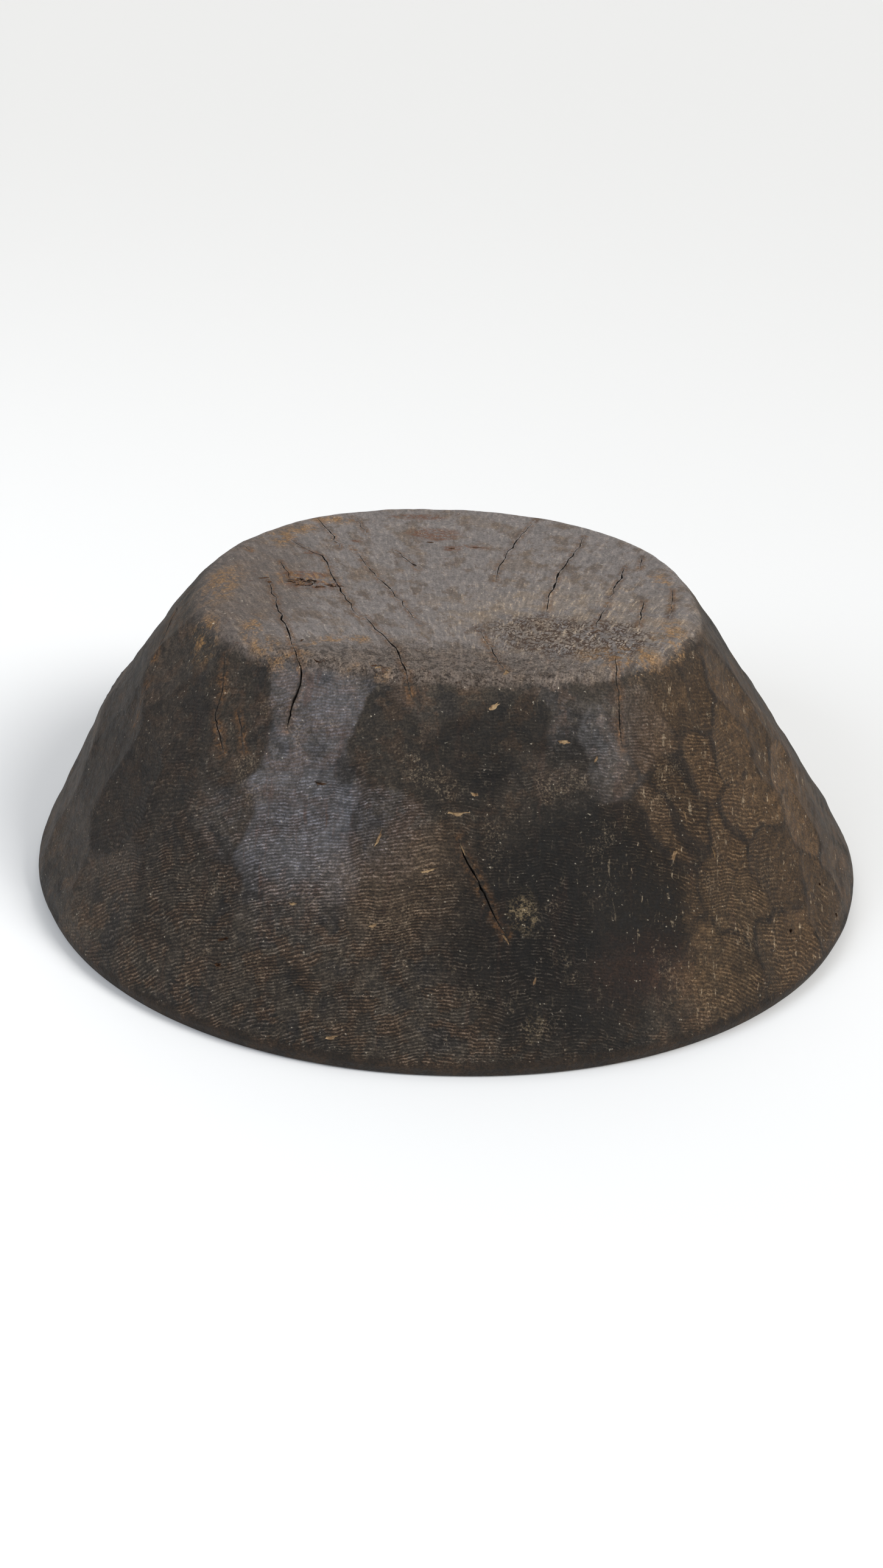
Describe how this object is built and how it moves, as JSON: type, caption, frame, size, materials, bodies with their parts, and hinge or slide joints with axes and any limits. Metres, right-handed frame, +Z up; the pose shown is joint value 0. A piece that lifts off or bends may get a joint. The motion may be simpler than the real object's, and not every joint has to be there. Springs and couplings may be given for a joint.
{
  "type": "wooden bowl",
  "caption": "Large round-mouthed bowl hewn from one piece of wood, with sloping adzed walls, a flat foot, drying checks and a deep hollow.",
  "frame": {"origin": "middle of the flat rim that the bowl stands on when it lies mouth down, as pictured", "axes": "+Z points up, out of the foot's face; the wood's grain runs along Y; -Y is the side that the picture shows"},
  "size_m": [0.4, 0.4054, 0.135],
  "materials": {
    "aged_wood": "dark aged bare wood, worn to a low sheen"
  },
  "bodies": {
    "root": {"bowl": "aged_wood"}
  },
  "joints": []
}
